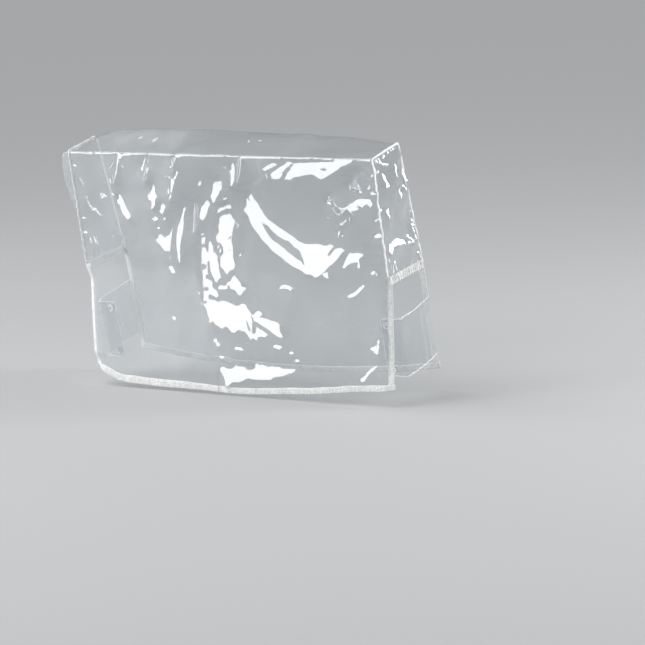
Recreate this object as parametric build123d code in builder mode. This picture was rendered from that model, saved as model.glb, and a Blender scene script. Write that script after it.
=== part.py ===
"""Clear vinyl cover for the backrest of a styling chair, in millimetres.

The cover is one long clear sheet that runs down the back, over the top and down the front of the
backrest, closed at the sides by two gussets that stop at the height of the chair's arms. Below them
the sides are open slits, edged with white tape. A tab on each front slit edge goes round the side of
the backrest and fastens to the back skirt with two press studs.

+X runs across the cover, to the sitter's right. +Y points to the sitter's side. +Z is up, with the
cover leaning back as it does on a reclined backrest. The origin is the middle of the top panel's
inner face, which rests on the backrest.
"""

from build123d import *
from math import cos, hypot, radians, sin
import os

os.makedirs("parts", exist_ok=True)

# Driving dimensions. Lengths are in millimetres, angles in degrees.
width = 481.0  # across the two gussets, outside
film = 0.3  # thickness of the clear sheet
top_depth = 65.3  # top panel, from the rear fold to the front fold
top_rise = 11.5  # the top panel climbs this much towards the sitter's side
back_length = 160.4  # back of the gusset, from the rear fold to the gusset's foot
back_lean = 9.9  # lean of the back above the gusset's foot
skirt_length = 147.5  # back skirt at its corners, from the gusset's foot to the hem
front_length = 171.6  # front of the gusset
front_lean = 18.2  # lean of the front above the gusset's foot
front_skirt_length = 149.8  # front skirt at its corners
front_skirt_lean = 12.9
hem_bow = 19.0  # both hems hang this much lower in the middle than at the corners
fold_radius = 5.0  # where the sheet turns over the edges of the backrest's top

tape_width = 8.0  # white tape folded over a raw edge, on each face
tape = 0.6  # thickness of one layer of it
tape_past_edge = 0.6  # the tape's fold stands this far outside the sheet's edge
hem_overrun = 1.5  # the hem tape ends this far past the slit tape
gusset_drop = 6.0  # the gusset's lower edge hangs this much below its foot, inside its tape
gathered_width = 11.0  # tape gathered on elastic along that edge
gathered_thickness = 2.2
gathered_low = -7.2  # its lower edge, measured up from the gusset's foot
foot_clear = 1.3  # it stops this far short of the sheet at both ends
front_slope = 0.28  # and leans back with the front panel, by this share of its height
elastic_width = 6.0
elastic_thickness = 0.7
elastic_low = -4.0

piping_height = 2.4  # the seam ridge round a gusset, standing proud of the sheet
piping_thickness = 1.6

tab_height = 81.0
tab_side = 81.0  # the tab's run along the side of the backrest
tab_reach = 28.8  # its free end, turned in behind the backrest
tab_fold = 6.0
tab_corner = 5.0
tab_drop = 47.8  # from the gusset's foot to the top of the tab, along the front slit
tab_gap = 0.4  # clearance between the tab and the front slit tape

stud_spacing = 62.9
stud_from_tab_top = 9.0
stud_from_tab_end = 8.5
skirt_stud_drop = 68.0  # from the gusset's foot to the upper press stud on the back skirt
skirt_stud_spacing = 60.0
skirt_stud_inset = 18.0  # from the side of the cover
cap_radius = 5.35
cap_height = 1.3
cap_round = 0.8
post_radius = 1.5
post_length = 0.9  # how far a cap's post reaches past the sheet, into its ring
ring_radius = 4.9
ring_base = 1.3
groove_radius = 4.1  # a shallow groove round the boss leaves a raised rim
groove_depth = 0.5
boss_radius = 2.4
boss_round = 0.7
rim_round = 0.3
stud_height = 3.0
socket_height = 2.6
socket_bore = 2.6
socket_depth = 1.5

cutter = 2.0  # how far the cutting shapes stand off the sheet on each side

# Worked out from them.
half = width / 2
sheet_half = half - film  # the sheet ends at the gussets' inner faces
tape_outer = sheet_half + tape_past_edge
sides = (("left", -1), ("right", 1))


def along(start, length, lean):
    """The point a length down a panel that leans back at its top, as (y, z)."""
    angle = radians(lean)
    return (start[0] + length * sin(angle), start[1] - length * cos(angle))


# The side view of the sheet's outer face, as (y, z) points from the rear hem to the front hem.
rise = radians(top_rise)
rear_fold = (-film * sin(rise) - top_depth / 2 * cos(rise), film * cos(rise) - top_depth / 2 * sin(rise))
front_fold = (-film * sin(rise) + top_depth / 2 * cos(rise), film * cos(rise) + top_depth / 2 * sin(rise))
rear_foot = along(rear_fold, back_length, back_lean)
front_foot = along(front_fold, front_length, front_lean)
rear_hem = along(rear_foot, skirt_length + hem_bow, 0)
front_hem = along(front_foot, front_skirt_length + hem_bow, front_skirt_lean)

# Working planes of the two skirts: origin at the gusset's foot, y up the panel, z outwards.
lean = radians(front_skirt_lean)
back_skirt_plane = Plane(origin=(0, *rear_foot), x_dir=(1, 0, 0), z_dir=(0, -1, 0))
front_skirt_plane = Plane(origin=(0, *front_foot), x_dir=(-1, 0, 0), z_dir=(0, cos(lean), sin(lean)))


# The tabs' plane lies across the front slit edge at the top of the tab, with x across the cover,
# y to the sitter's side and z up along the slit. A tab's fixed edge is its hinge line.
tab_top = along(front_foot, tab_drop, front_skirt_lean)
tab_plane = Plane(origin=(0, *tab_top), x_dir=(1, 0, 0), z_dir=(0, -sin(lean), cos(lean)))
tab_x = tape_outer + tab_gap  # inner face of the tab's side run
tab_end = tab_x - tab_reach


def tab_stud_plane(sign, row):
    """Where a press stud sits on a tab: on its rear face, z towards the back skirt."""
    point = (
        sign * (tab_end + stud_from_tab_end),
        -tab_side - film,
        -stud_from_tab_top - row * stud_spacing,
    )
    return Plane(origin=tab_plane.from_local_coords(point), x_dir=(1, 0, 0), z_dir=-tab_plane.y_dir)


def skirt_socket_plane(sign, row):
    """Where a socket sits on the back skirt: on its inner face, z towards the tab."""
    point = (sign * (half - skirt_stud_inset), -skirt_stud_drop - row * skirt_stud_spacing, -film)
    return Plane(origin=back_skirt_plane.from_local_coords(point), x_dir=(1, 0, 0), z_dir=(0, 1, 0))


def hem_line(half_length, corner_height):
    """A hem's edge in its skirt's plane: a shallow arc that hangs lowest in the middle."""
    ThreePointArc(
        (-half_length, corner_height),
        (0, corner_height - hem_bow),
        (half_length, corner_height),
    )


# The clear sheet, from hem to hem, with its two hems cut to a shallow arc.
with BuildPart() as main_sheet:
    with BuildSketch(Plane.YZ):
        with BuildLine():
            FilletPolyline(
                rear_hem, rear_foot, rear_fold, front_fold, front_foot, front_hem,
                radius=[0, fold_radius, fold_radius, 0],
            )
            offset(amount=film, side=Side.RIGHT, kind=Kind.INTERSECTION)
        make_face()
    extrude(amount=sheet_half, both=True)
    for plane, corner in ((back_skirt_plane, skirt_length), (front_skirt_plane, front_skirt_length)):
        with BuildSketch(plane.offset(-cutter)):
            with BuildLine():
                hem_line(sheet_half, -corner)
                Polyline(
                    (sheet_half, -corner),
                    (sheet_half, -corner - 2 * hem_bow),
                    (-sheet_half, -corner - 2 * hem_bow),
                    (-sheet_half, -corner),
                )
            make_face()
        extrude(amount=2 * cutter, mode=Mode.SUBTRACT)
    # holes for the posts of the press studs
    for side, sign in sides:
        for row in range(2):
            with BuildSketch(skirt_socket_plane(sign, row)):
                Circle(post_radius)
            extrude(amount=cutter, both=True, mode=Mode.SUBTRACT)
main_sheet.part.label = "main_sheet"
export_step(main_sheet.part, "parts/main_sheet.step")


# White tape folded over each hem. It runs past both slit tapes.
for name, plane, corner in (
    ("back", back_skirt_plane, skirt_length),
    ("front", front_skirt_plane, front_skirt_length),
):
    hem_end = tape_outer + hem_overrun
    low = -corner - tape_past_edge
    high = low + tape_width
    with BuildPart() as hem_tape:
        with BuildSketch(plane.offset(-film - tape)):
            with BuildLine():
                hem_line(hem_end, low)
                Line((hem_end, low), (hem_end, high))
                hem_line(hem_end, high)
                Line((-hem_end, high), (-hem_end, low))
            make_face()
        extrude(amount=film + 2 * tape)
        add(main_sheet.part, mode=Mode.SUBTRACT)
    hem_tape.part.label = f"{name}_hem_tape"
    export_step(hem_tape.part, f"parts/{name}_hem_tape.step")

    # Tape folded over the two slit edges above that hem.
    for side, sign in sides:
        across = sign if name == "back" else -sign
        with BuildPart() as slit_tape:
            with BuildSketch(plane.offset(-film - tape)):
                with Locations((across * (tape_outer - tape_width / 2), (low - tape_past_edge) / 2)):
                    Rectangle(tape_width, -low - tape_past_edge)
            extrude(amount=film + 2 * tape)
            add(main_sheet.part, mode=Mode.SUBTRACT)
            add(hem_tape.part, mode=Mode.SUBTRACT)
        slit_tape.part.label = f"{name}_{side}_slit_tape"
        export_step(slit_tape.part, f"parts/{name}_{side}_slit_tape.step")


# The gussets, their seam piping, and the gathered tape with its elastic at the foot.
foot_run = (front_foot[0] - rear_foot[0], front_foot[1] - rear_foot[1])
foot_length = hypot(*foot_run)
foot_sin = foot_run[1] / foot_length
foot_cos = foot_run[0] / foot_length


def foot_point(run, up):
    """A point in the gusset's plane: run along its foot from the rear, and up from it."""
    y = rear_foot[0] + run * foot_cos - up * foot_sin
    z = rear_foot[1] + run * foot_sin + up * foot_cos
    return (y, z)


tape_start = foot_clear
tape_end = foot_length - foot_clear
tape_end_high = tape_end - (gathered_low + gathered_width) * front_slope
tape_high = gathered_low + gathered_width
elastic_start = 2 * foot_clear
elastic_end = foot_length - 4 * foot_clear
elastic_high = elastic_low + elastic_width

for side, sign in sides:
    with BuildPart() as gusset:
        with BuildSketch(Plane.YZ.offset(sign * sheet_half)):
            with BuildLine():
                FilletPolyline(rear_foot, rear_fold, front_fold, front_foot, radius=fold_radius)
                Polyline(
                    front_foot,
                    foot_point(tape_end, 0),
                    foot_point(tape_end, -gusset_drop),
                    foot_point(tape_start, -gusset_drop),
                    foot_point(tape_start, 0),
                    rear_foot,
                )
            make_face()
        extrude(amount=sign * film)
    gusset.part.label = f"{side}_gusset"
    export_step(gusset.part, f"parts/{side}_gusset.step")

    with BuildPart() as piping:
        with BuildSketch(Plane.YZ.offset(sign * (half - piping_thickness))):
            with BuildLine():
                FilletPolyline(rear_foot, rear_fold, front_fold, front_foot, radius=fold_radius)
                offset(amount=piping_height, side=Side.LEFT)
            make_face()
        extrude(amount=sign * piping_thickness)
    piping.part.label = f"{side}_seam_piping"
    export_step(piping.part, f"parts/{side}_seam_piping.step")

    with BuildPart() as elastic:
        with BuildSketch(Plane.YZ.offset(sign * sheet_half)):
            with BuildLine():
                Polyline(
                    foot_point(elastic_start, elastic_low),
                    foot_point(elastic_end, elastic_low),
                    foot_point(elastic_end, elastic_high),
                    foot_point(elastic_start, elastic_high),
                    close=True,
                )
            make_face()
        extrude(amount=-sign * elastic_thickness)
    elastic.part.label = f"{side}_gusset_elastic"
    export_step(elastic.part, f"parts/{side}_gusset_elastic.step")

    with BuildPart() as gathered:
        with BuildSketch(Plane.YZ.offset(sign * (half - film / 2 - gathered_thickness / 2))):
            with BuildLine():
                Polyline(
                    foot_point(tape_start, gathered_low),
                    foot_point(tape_end, gathered_low),
                    foot_point(tape_end, 0),
                    foot_point(tape_end_high, tape_high),
                    foot_point(tape_start, tape_high),
                    close=True,
                )
            make_face()
        extrude(amount=sign * gathered_thickness)
        add(gusset.part, mode=Mode.SUBTRACT)
        add(elastic.part, mode=Mode.SUBTRACT)
    gathered.part.label = f"{side}_gusset_tape"
    export_step(gathered.part, f"parts/{side}_gusset_tape.step")


# The tabs: clear rectangles folded round the side of the backrest, with a rounded free end.
for side, sign in sides:
    with BuildPart() as tab:
        with BuildSketch(tab_plane):
            with BuildLine():
                FilletPolyline(
                    (sign * tab_x, 0),
                    (sign * tab_x, -tab_side),
                    (sign * tab_end, -tab_side),
                    radius=tab_fold,
                )
                offset(amount=film, side=Side.LEFT if sign > 0 else Side.RIGHT)
            make_face()
        extrude(amount=-tab_height)
        free_edges = tab.edges().filter_by(Axis((0, 0, 0), tab_plane.y_dir)).group_by(Axis.X)
        fillet(free_edges[0] if sign > 0 else free_edges[-1], radius=tab_corner)
        for row in range(2):
            with BuildSketch(tab_stud_plane(sign, row)):
                Circle(post_radius)
            extrude(amount=cutter, both=True, mode=Mode.SUBTRACT)
    tab.part.label = f"{side}_tab"
    export_step(tab.part, f"parts/{side}_tab.step")


# The press studs. On a tab the stud faces the back skirt; on the skirt the socket faces the tab.
# Each half has a cap on the sheet's other face, whose post goes through the sheet into the half.
for side, sign in sides:
    for row, level in enumerate(("upper", "lower")):
        for place, plane, half_name, half_height in (
            ("tab", tab_stud_plane(sign, row), "stud", stud_height),
            ("skirt", skirt_socket_plane(sign, row), "socket", socket_height),
        ):
            with BuildPart() as cap:
                with BuildSketch(plane.offset(-film)):
                    Circle(cap_radius)
                extrude(amount=-cap_height)
                outer_face = cap.faces().filter_by(GeomType.PLANE).sort_by_distance(plane.origin)[-1]
                fillet(outer_face.edges(), radius=cap_round)
                with BuildSketch(plane.offset(-film)):
                    Circle(post_radius)
                extrude(amount=film + post_length)
            cap.part.label = f"{side}_{level}_{place}_cap"
            export_step(cap.part, f"parts/{side}_{level}_{place}_cap.step")

            with BuildPart() as press_half:
                with BuildSketch(plane):
                    Circle(ring_radius)
                extrude(amount=ring_base if half_name == "stud" else half_height)
                if half_name == "stud":
                    with BuildSketch(plane.offset(ring_base)):
                        Circle(groove_radius)
                    extrude(amount=-groove_depth, mode=Mode.SUBTRACT)
                    rim = press_half.faces().sort_by(Axis(plane.origin, plane.z_dir))[-1]
                    fillet(rim.edges(), radius=rim_round)
                    with BuildSketch(plane):
                        Circle(boss_radius)
                    extrude(amount=half_height)
                    boss_end = press_half.faces().sort_by(Axis(plane.origin, plane.z_dir))[-1]
                    fillet(boss_end.edges(), radius=boss_round)
                else:
                    with BuildSketch(plane.offset(half_height)):
                        Circle(socket_bore)
                    extrude(amount=-socket_depth, mode=Mode.SUBTRACT)
                add(cap.part, mode=Mode.SUBTRACT)
            press_half.part.label = f"{side}_{level}_{place}_{half_name}"
            export_step(press_half.part, f"parts/{side}_{level}_{place}_{half_name}.step")
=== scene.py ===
"""Looks of the clear vinyl chair-back cover. Lengths are in millimetres until a mesh is made."""

from math import cos, pi, radians, sin

import bmesh
import bpy
import numpy as np
from mathutils import Matrix, Vector


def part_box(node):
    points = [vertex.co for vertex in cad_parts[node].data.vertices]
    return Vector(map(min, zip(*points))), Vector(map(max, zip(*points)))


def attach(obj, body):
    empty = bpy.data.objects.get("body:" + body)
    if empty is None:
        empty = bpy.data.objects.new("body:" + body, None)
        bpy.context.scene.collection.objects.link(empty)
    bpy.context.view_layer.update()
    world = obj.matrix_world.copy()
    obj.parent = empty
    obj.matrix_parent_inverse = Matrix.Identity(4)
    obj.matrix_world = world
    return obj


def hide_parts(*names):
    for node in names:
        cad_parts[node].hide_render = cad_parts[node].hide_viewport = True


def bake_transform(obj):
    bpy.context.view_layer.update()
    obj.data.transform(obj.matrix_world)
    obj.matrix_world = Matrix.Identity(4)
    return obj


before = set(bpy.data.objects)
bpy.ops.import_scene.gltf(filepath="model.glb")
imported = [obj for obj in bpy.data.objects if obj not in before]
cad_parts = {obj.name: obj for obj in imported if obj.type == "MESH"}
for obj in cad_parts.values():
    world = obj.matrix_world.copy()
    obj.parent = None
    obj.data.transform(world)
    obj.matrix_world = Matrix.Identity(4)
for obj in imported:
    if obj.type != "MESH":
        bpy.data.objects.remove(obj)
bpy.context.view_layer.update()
MM = 0.001
SIDEWAYS = np.array((1.0, 0, 0))

# ---- the cover's dimensions, as in CAD
HALF = 240.5  # half the width
FILM = 0.3
# corners of the side view, as (y, z)
REAR_FOLD = np.array((-32.054, -6.216))
FRONT_FOLD = np.array((31.934, 6.803))
REAR_FOOT = np.array((-4.477, -164.227))
FRONT_FOOT = np.array((85.531, -156.213))
FRONT_SKIRT_LEAN = radians(12.9)
# lengths along the sheet, and how much lower the hems hang in the middle
BACK, TOP, FRONT = 160.4, 65.3, 171.6
BACK_SKIRT, FRONT_SKIRT = 147.5, 149.8
BOW = 19.0
# the softboxes: place, what each faces, width and height, in metres, and the camera's place. The folds
# are aimed with them.
KEY = ((-1.26, -1.80, 0.62), (0, 0, 0.62), 0.95, 1.55)
LEFT_STRIP = ((-2.3, -0.1, 0.5), (0, 0, 0.3), 0.6, 1.6)
RIGHT_SIDE = ((2.2, 1.0, 0.55), (0.24, 0, 0.2), 0.7, 1.4)
VIEWPOINT = (2.002, -3.0206, 0.3744)


# ---- small numeric helpers
def ramp(a, b, t):
    """Smooth step from 0 at a to 1 at b."""
    t = np.clip((np.asarray(t, float) - a) / (b - a), 0, 1)
    return t * t * (3 - 2 * t)


def bell(t, width):
    """1 at 0, falling smoothly on both sides."""
    return np.exp(-((np.asarray(t, float) / width) ** 2))


def waves(seed, x, y, wavelength, terms=14):
    """A smooth random field of about unit height, from a sum of sines."""
    rng = np.random.default_rng(seed)
    total = np.zeros(np.broadcast(x, y).shape)
    for _ in range(terms):
        angle, phase = rng.uniform(0, 2 * pi, 2)
        k = 2 * pi / (wavelength * rng.uniform(0.7, 1.6))
        total = total + np.sin(k * (np.cos(angle) * x + np.sin(angle) * y) + phase)
    return total / np.sqrt(terms / 2)


def unit(v):
    return v / np.maximum(np.linalg.norm(v, axis=-1, keepdims=True), 1e-12)


def inside(x, y, outline):
    """Which points lie in a closed outline."""
    hit = np.zeros(np.broadcast(x, y).shape, bool)
    pts = list(outline)
    for (x0, y0), (x1, y1) in zip(pts, pts[1:] + pts[:1]):
        if y0 == y1:
            continue
        crosses = (y0 > y) != (y1 > y)
        hit ^= crosses & (x < (x1 - x0) * (y - y0) / (y1 - y0) + x0)
    return hit


def outlines(*rows):
    """Outlines as lists of points, from rows of alternating coordinates."""
    return [list(zip(row[::2], row[1::2])) for row in rows]


def grid_normals(p):
    return unit(np.cross(np.gradient(p, axis=0), np.gradient(p, axis=1)))


def columns(want, at, values):
    """np.interp on each column of values."""
    return np.stack([np.interp(want, at, values[:, k]) for k in range(values.shape[1])], -1)


def distances(path):
    return np.concatenate(([0], np.cumsum(np.linalg.norm(np.diff(path, axis=0), axis=1))))


def in_plane(directions):
    """Directions given as (y, z), with x added as 0."""
    return np.stack([np.zeros(directions.shape[:-1]), *np.moveaxis(directions, -1, 0)], -1)


def resample(path, step, extra=()):
    """Even points along a path, with other per-point arrays carried along."""
    at = distances(path)
    count = max(int(round(at[-1] / step)), 4)
    want = np.linspace(0, at[-1], count + 1)
    return (want, *(columns(want, at, a) for a in (path, *extra)))


# ---- meshes
def make_mesh(name, verts, faces, uvs=None):
    mesh = bpy.data.meshes.new(name)
    mesh.from_pydata((np.asarray(verts) * MM).tolist(), [], [list(map(int, f)) for f in faces])
    mesh.polygons.foreach_set("use_smooth", [True] * len(mesh.polygons))
    if uvs is not None:
        layer = mesh.uv_layers.new(name="UVMap")
        loops = np.empty(len(mesh.loops), np.int32)
        mesh.loops.foreach_get("vertex_index", loops)
        layer.data.foreach_set("uv", (np.asarray(uvs)[loops] * MM).astype(np.float32).ravel())
    mesh.validate()
    obj = bpy.data.objects.new(name, mesh)
    bpy.context.scene.collection.objects.link(obj)
    return obj


def shell(name, p, thickness, uv, outward, coarse_from=None):
    """A closed thin sheet around a grid of points. outward gives its outer side, roughly. Rows from
    coarse_from on keep every second column only."""
    n, m = p.shape[:2]
    normals = grid_normals(p)
    flip = (normals * outward).sum(-1).mean() < 0
    if flip:
        normals = -normals
    half = (np.broadcast_to(thickness, (n, m)) / 2)[..., None]
    keep = np.ones((n, m), bool)
    if coarse_from is not None:
        keep[coarse_from:, 1::2] = False
    index = np.full((n, m), -1)
    index[keep] = np.arange(keep.sum())
    count = int(keep.sum())

    def quads(block):
        corners = block[:-1, :-1], block[1:, :-1], block[1:, 1:], block[:-1, 1:]
        return list(zip(*(c.ravel().tolist() for c in corners)))

    if coarse_from is None:
        top = quads(index)
        right_edge = index[-1, :-1]
    else:
        top = quads(index[:coarse_from]) + quads(index[coarse_from:, ::2])
        fine, far = index[coarse_from - 1], index[coarse_from, ::2]
        for j in range(len(far) - 1):
            f0, f1, f2 = fine[2 * j], fine[2 * j + 1], fine[2 * j + 2]
            top += [(f0, far[j], f1), (far[j], far[j + 1], f1), (far[j + 1], f2, f1)]
        right_edge = index[-1, :-1:2]
    low = [tuple(v + count for v in f[::-1]) for f in top]
    ring = np.concatenate([index[:-1, 0], right_edge, index[:0:-1, -1], index[0, :0:-1]])
    after = np.roll(ring, -1)
    rim = [(b, a, a + count, b + count) for a, b in zip(ring, after)]
    faces = top + low + rim
    if flip:
        faces = [f[::-1] for f in faces]
    verts = np.concatenate([(p + normals * half)[keep], (p - normals * half)[keep]])
    return make_mesh(name, verts, faces, np.concatenate([uv[keep]] * 2))


def sweep(name, path, side, normal, section, step=0.6, relief=None):
    """A closed piece swept along an edge. section is a closed loop of (side, normal) offsets.
    relief(along, loop position, section) returns the section to use at each step."""
    along, path, side, normal = resample(path, step, (side, normal))
    side, normal = unit(side), unit(normal)
    count, k = len(path), len(section)
    sec = np.broadcast_to(np.asarray(section, float), (count, k, 2)).copy()
    if relief is not None:
        sec = relief(along[:, None], sec)
    verts = path[:, None] + side[:, None] * sec[..., :1] + normal[:, None] * sec[..., 1:]
    index = np.arange(count * k).reshape(count, k)
    a, b = index[:-1], index[1:]
    quads = np.stack([a, b, np.roll(b, -1, 1), np.roll(a, -1, 1)], -1).reshape(-1, 4)
    loops = [tuple(quad) for quad in quads] + [tuple(index[0]), tuple(index[-1][::-1])]
    uv = np.stack(np.broadcast_arrays(along[:, None], np.arange(k)[None] * 1.0), -1).reshape(-1, 2)
    return make_mesh(name, verts.reshape(-1, 3), loops, uv)


def outward_faces(obj):
    bm = bmesh.new()
    bm.from_mesh(obj.data)
    bmesh.ops.recalc_face_normals(bm, faces=bm.faces)
    bm.to_mesh(obj.data)
    bm.free()
    return obj


pieces = {"film": [], "tape": [], "welt": [], "thread": []}


def register(obj, kind, body=None, node=None):
    """Note a piece's kind, which names its finish, attach it to its body and hide the CAD node that it stands for.
    A piece that crosses a joint gets no body here."""
    if body is not None:
        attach(obj, body)
    if node is not None:
        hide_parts(node)
    pieces[kind].append(obj)


# ---- the sheet's side view
def profile():
    """Points and outward normals along the sheet, with distance 0 at the rear fold, negative down
    the back and positive over the top and down the front."""
    down = np.array((sin(FRONT_SKIRT_LEAN), -cos(FRONT_SKIRT_LEAN)))
    corners = [
        (-BACK - 400, REAR_FOOT + (0, -400)),
        (-BACK, REAR_FOOT),
        (0.0, REAR_FOLD),
        (TOP, FRONT_FOLD),
        (TOP + FRONT, FRONT_FOOT),
        (TOP + FRONT + 400, FRONT_FOOT + 400 * down),
    ]
    at = np.arange(-BACK - 300, TOP + FRONT + 300, 0.25)
    raw = columns(at, [c[0] for c in corners], np.array([c[1] for c in corners]))
    reach = 64
    kernel = bell(np.arange(-reach, reach + 1) * 0.25, 3.0)
    kernel /= kernel.sum()
    padded = [np.pad(raw[:, k], reach, mode="reflect", reflect_type="odd") for k in (0, 1)]
    smooth = np.stack([np.convolve(line, kernel, "valid") for line in padded], -1)
    tangent = unit(np.gradient(smooth, axis=0))
    normal = np.stack([-tangent[:, 1], tangent[:, 0]], -1)
    return at, smooth, normal


P_AT, P_POINT, P_NORMAL = profile()


def on_profile(s):
    """The side view's points and outward normals at distances s."""
    return columns(s, P_AT, P_POINT), unit(columns(s, P_AT, P_NORMAL))


# ---- folds of the back, as lit facets
# Each is an outline in millimetres on the back, across from the middle and down from the rear fold,
# in which the film is turned to show the key softbox.
FACETS = outlines(
    [27.5, 58, 32.5, 59, 33, 63.5, 39, 68, 46.5, 76, 52, 82.5, 58, 89, 68.5, 94, 79, 99.5, 89, 104, 99.5, 109.5,
     107, 114, 113.5, 115, 118.5, 117.5, 131, 117, 142, 117.5, 152.5, 118, 162.5, 116.5, 164, 119, 159.5, 125.5,
     155, 132.5, 160.5, 128, 167, 121, 171, 118.5, 180, 121.5, 188, 126, 194.5, 126, 205.5, 125.5, 207.5, 128,
     200.5, 133.5, 191.5, 140, 182.5, 144.5, 179, 147.5, 178.5, 144.5, 182, 138, 186, 131.5, 184.5, 127.5, 180.5,
     124, 176.5, 126, 169.5, 134, 158.5, 144, 150.5, 151, 140, 161, 137, 157.5, 128, 156.5, 118, 156.5, 116.5,
     152.5, 107, 148.5, 96.5, 144, 86, 140, 76, 134.5, 68.5, 129.5, 61, 123, 52.5, 116.5, 46.5, 110.5, 40, 105.5,
     38, 101, 33.5, 99, 31.5, 93.5, 29, 87.5, 25, 83, 24, 79, 27, 75.5, 28.5, 69.5, 24.5, 66.5, 21.5, 64.5],
    [149.5, 155, 156.5, 148.5, 158.5, 153, 158.5, 158, 161.5, 162, 156, 160],
    [72, 17, 90, 7, 89, 13, 75, 19],
    [83, 23, 112, 5, 117, 8, 100, 18, 90, 25],
    [87, 29, 104, 18, 98, 29],
    [103, 29, 112, 18, 118, 29],
    [116, 7, 145, 6, 180, 5, 200, 3, 216, 0, 192, 12, 180, 20, 160, 28, 150, 22, 130, 24, 121, 27],
    [188, 67, 193, 63, 196, 66, 202, 66, 204, 56, 214, 53, 226, 54, 234, 65, 228, 65, 222, 58, 217, 61, 216, 67,
     205, 69],
    [227, 49, 236, 43, 238, 47, 232, 52],
    [177, 186, 189, 181, 197, 172, 204, 167, 200, 176, 190, 185, 180, 189],
    [-23, 48, -18, 40, -10, 41, -12, 52, -14, 60, -19, 70, -25, 73, -24, 60],
    [-13, 67, -4, 61, -5, 67],
    [-25, 82, -10, 75, -2, 74, -5, 80, -25, 88],
    [-26, 93, -18, 89, -8, 89, 0, 97, -6, 102, -5, 112, -9, 120, -4, 130, -9, 134, -5, 140, 0, 150, -2, 163, -8,
     166, -17, 160, -22, 150, -17, 140, -21, 125, -26, 115],
    [-26, 180, -12, 181, -6, 173, -8, 167, 2, 166, 9, 175, 15, 192, 10, 195, 3, 188, -5, 181, -12, 188, -26, 187],
    [-32, 210, -28, 203, -15, 201, -5, 205, 3, 209, 10, 203, 17, 206, 26, 222, 32, 238, 38, 239, 48, 233, 47, 240,
     54, 246, 36, 249, 28, 253, 24, 246, 12, 240, 2, 244, -7, 240, -10, 234, -18, 240, -27, 233, -33, 225],
    [-54, 112, -51, 111, -49, 130, -46, 145, -42, 163, -37, 180, -30, 189, -22, 195, -30, 203, -34, 211, -33, 223,
     -36, 236, -41, 224, -46, 205, -50, 180, -53, 150],
    [-43, 126, -39, 124, -34, 138, -29, 146, -24, 160, -22, 175, -28, 181, -32, 172, -38, 165, -42, 150],
    [-46, 98, -48, 90, -41, 71, -36, 67, -35, 74, -41, 94],
    [-40, 44, -38, 39, -35, 40, -37, 46],
    [32, 217, 36, 212, 43, 212, 39, 220, 37, 224, 48, 224, 59, 227, 71, 235, 82, 250, 70, 246, 58, 237, 48, 232,
     38, 229, 32, 223],
    [-26, 289, -18, 296, -5, 291, 8, 290, 22, 296, 30, 287, 40, 286, 50, 290, 60, 289, 75, 291, 94, 290, 85, 298,
     70, 301, 55, 307, 35, 309, 15, 306, 5, 312, -8, 314, -16, 319, -21, 312, -23, 302],
    [-35, 253, -31, 254, -28, 262, -23, 263, -30, 266],
    [-4, 264, 5, 264, 16, 266, 8, 269, 0, 268],
    [12, 255, 18, 257, 25, 256, 18, 260],
    [58, 262, 64, 257, 74, 260, 72, 264, 60, 264],
    [84, 266, 90, 266, 91, 270, 86, 270],
    [-28, 277, -22, 276, -20, 281, -26, 281],
    [91, 277, 97, 278, 96, 282, 92, 281],
    [-170, 56, -167, 59, -151, 92, -153, 95, -158, 88, -167, 69],
    [-181, 51, -173, 61, -175, 62, -181, 54],
    [-111, 40, -108, 50, -106, 68, -109, 77, -111, 75, -113, 56],
    [-101, 72, -97, 70, -94, 78, -99, 84, -102, 82],
    [-115, 89, -112, 87, -109, 91, -112, 95, -115, 93],
    [-101, 90, -97, 88, -95, 92, -99, 94],
    [-116, 105, -112, 102, -108, 106, -112, 110],
    [-116, 116, -109, 114, -111, 120, -110, 126, -104, 123, -99, 115, -97, 116, -103, 128, -109, 131, -115, 125],
    [-110, 131, -104, 134, -97, 133, -101, 137, -106, 136],
    [-64, 19, -67, 30, -72, 50, -77, 69, -75, 45, -69, 28],
    [-73, 76, -77, 105, -78.5, 125, -76, 151, -79, 150, -82, 125, -80, 100, -75.5, 80],
    [-102, 158, -97, 157, -92, 168, -97, 168],
    [-102, 228, -98, 226, -97, 233],
    [19, 12, 23, 9, 26, 25, 22, 42, 18, 42, 22, 25],
    [221.5, 270, 214, 282, 207, 289.5, 200, 300, 193.5, 305, 192, 303, 198, 297, 205, 287, 212, 280],
    [235, 219, 229, 232, 226, 241, 225, 250, 225, 256, 222, 264, 213, 258, 216, 252, 220, 248, 222, 241, 227, 230],
)
# Outlines turned to show the dimmer strip on the left
SIDE_FACETS = outlines(
    [156, 54, 163, 54, 178, 69, 189, 75, 178, 76, 167, 67],
    [167, 92, 185, 81, 199, 79, 188, 88, 172, 93],
    [196, 26, 212, 21, 228, 29, 240, 42, 230, 37, 215, 31, 198, 31],
    [210, 38, 228, 39, 222, 44, 212, 43],
    [175, 98, 180, 97, 179, 106, 176, 106],
    [184, 102, 198, 92, 200, 95, 188, 104],
    [220, 102, 225, 98, 226, 128, 221, 130],
    [216, 149, 228, 150, 231, 154, 220, 153],
    [-163, 2, -159, 2, -166, 42, -171, 42],
    [-118, 6, -114, 6, -114, 38, -118, 38],
    [-71, 2, -66, 2, -69, 18, -75, 40],
    [-62, 74, -58, 74, -57, 112, -60, 112],
    [34, 2, 38, 2, 36, 30, 33, 42],
    [27, 48, 60, 33, 92, 21, 62, 37],
)
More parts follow.
